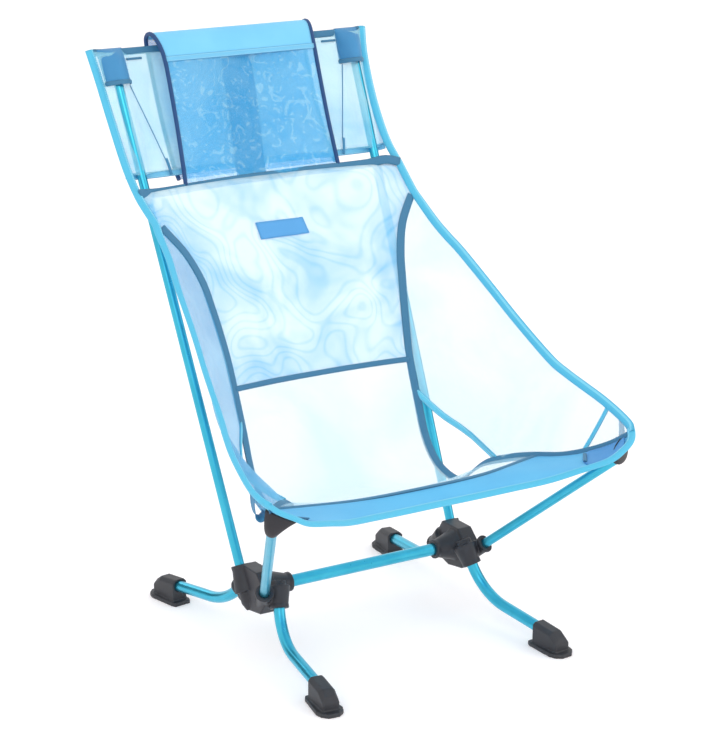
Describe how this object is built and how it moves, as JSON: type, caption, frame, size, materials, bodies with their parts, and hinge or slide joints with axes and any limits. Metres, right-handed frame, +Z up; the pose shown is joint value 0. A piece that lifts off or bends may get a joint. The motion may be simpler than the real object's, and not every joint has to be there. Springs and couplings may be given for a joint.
{
  "type": "packable camping chair",
  "caption": "High-backed ultralight camping chair: mesh sling with headrest pillow on a plug-together frame of bent tubes with rubber feet.",
  "frame": {"origin": "on the ground, under the middle of the chair's width and depth", "axes": "+Z up, -Y the way the sitter faces, +X to the viewer's right when looking at the front"},
  "size_m": [0.617, 0.6722, 0.8291],
  "materials": {
    "anodised_tube": "bright cyan anodised",
    "ferrule_metal": "plain drawn tube",
    "hub_plastic": "moulded, satin black",
    "boot_rubber": "moulded, matt black",
    "tip_plastic": "moulded, black",
    "elastic_cord": "braided elastic cord",
    "double_mesh": "two layers of polyester mesh",
    "sheer_mesh": "one layer of sheer polyester mesh",
    "hem_fabric": "plain woven polyester",
    "binding_tape": "folded binding tape",
    "seam_tape": "ribbed seam tape",
    "pocket_fabric": "ripstop pocket cloth",
    "pocket_webbing": "black reinforcement cloth",
    "navy_webbing": "navy webbing and piping",
    "strap_webbing": "woven strap",
    "label_fabric": "plain woven label",
    "tether_elastic": "thin elastic cord"
  },
  "bodies": {
    "frame": {"back_ferrule_left": "ferrule_metal", "back_ferrule_right": "ferrule_metal", "back_panel": "double_mesh", "back_pole_cord_left": "elastic_cord", "back_pole_cord_right": "elastic_cord", "back_pole_lower_left": "anodised_tube", "back_pole_lower_right": "anodised_tube", "back_pole_tip_left": "tip_plastic", "back_pole_tip_right": "tip_plastic", "back_pole_upper_left": "anodised_tube", "back_pole_upper_right": "anodised_tube", "binding_front": "binding_tape", "binding_left": "binding_tape", "binding_right": "binding_tape", "corner_patch_left": "pocket_fabric", "corner_patch_right": "pocket_fabric", "crossbar": "anodised_tube", "drain_strips": "binding_tape", "front_hem": "hem_fabric", "front_pocket_left": "pocket_webbing", "front_pocket_right": "pocket_webbing", "front_pole_left": "anodised_tube", "front_pole_right": "anodised_tube", "front_pole_tip_left": "tip_plastic", "front_pole_tip_right": "tip_plastic", "hub_left": "hub_plastic", "hub_right": "hub_plastic", "label": "label_fabric", "mid_tape": "seam_tape", "pillow_back": "double_mesh", "pillow_front": "double_mesh", "pillow_piping": "navy_webbing", "pillow_strap": "strap_webbing", "pillow_top": "hem_fabric", "pull_loops": "navy_webbing", "rear_panel": "sheer_mesh", "rear_tape": "binding_tape", "seam_tape_left": "seam_tape", "seam_tape_right": "seam_tape", "seat_panel": "sheer_mesh", "shoulder_tape": "seam_tape", "tethers": "tether_elastic", "top_hem": "seam_tape", "top_pocket_left": "pocket_fabric", "top_pocket_right": "pocket_fabric", "wing_left": "sheer_mesh", "wing_right": "sheer_mesh"},
    "front_leg_left_body": {"front_leg_left": "anodised_tube", "front_leg_cord_left": "elastic_cord", "front_foot_left": "boot_rubber"},
    "front_leg_right_body": {"front_leg_right": "anodised_tube", "front_leg_cord_right": "elastic_cord", "front_foot_right": "boot_rubber"},
    "rear_leg_left_body": {"rear_leg_left": "anodised_tube", "rear_leg_cord_left": "elastic_cord", "rear_foot_left": "boot_rubber"},
    "rear_leg_right_body": {"rear_leg_right": "anodised_tube", "rear_leg_cord_right": "elastic_cord", "rear_foot_right": "boot_rubber"}
  },
  "joints": [
    {"name": "front_leg_left_pull", "type": "slide", "parent": "frame", "child": "front_leg_left_body", "axis": [-0.1702, -0.4606, -0.8711], "range_m": [0, 0.04], "stiffness_N_per_m": 250, "springref_m": -0.04},
    {"name": "front_leg_right_pull", "type": "slide", "parent": "frame", "child": "front_leg_right_body", "axis": [0.1702, -0.4606, -0.8711], "range_m": [0, 0.04], "stiffness_N_per_m": 250, "springref_m": -0.04},
    {"name": "rear_leg_left_pull", "type": "slide", "parent": "frame", "child": "rear_leg_left_body", "axis": [-0.1203, 0.702, -0.702], "range_m": [0, 0.04], "stiffness_N_per_m": 250, "springref_m": -0.04},
    {"name": "rear_leg_right_pull", "type": "slide", "parent": "frame", "child": "rear_leg_right_body", "axis": [0.1203, 0.702, -0.702], "range_m": [0, 0.04], "stiffness_N_per_m": 250, "springref_m": -0.04}
  ]
}
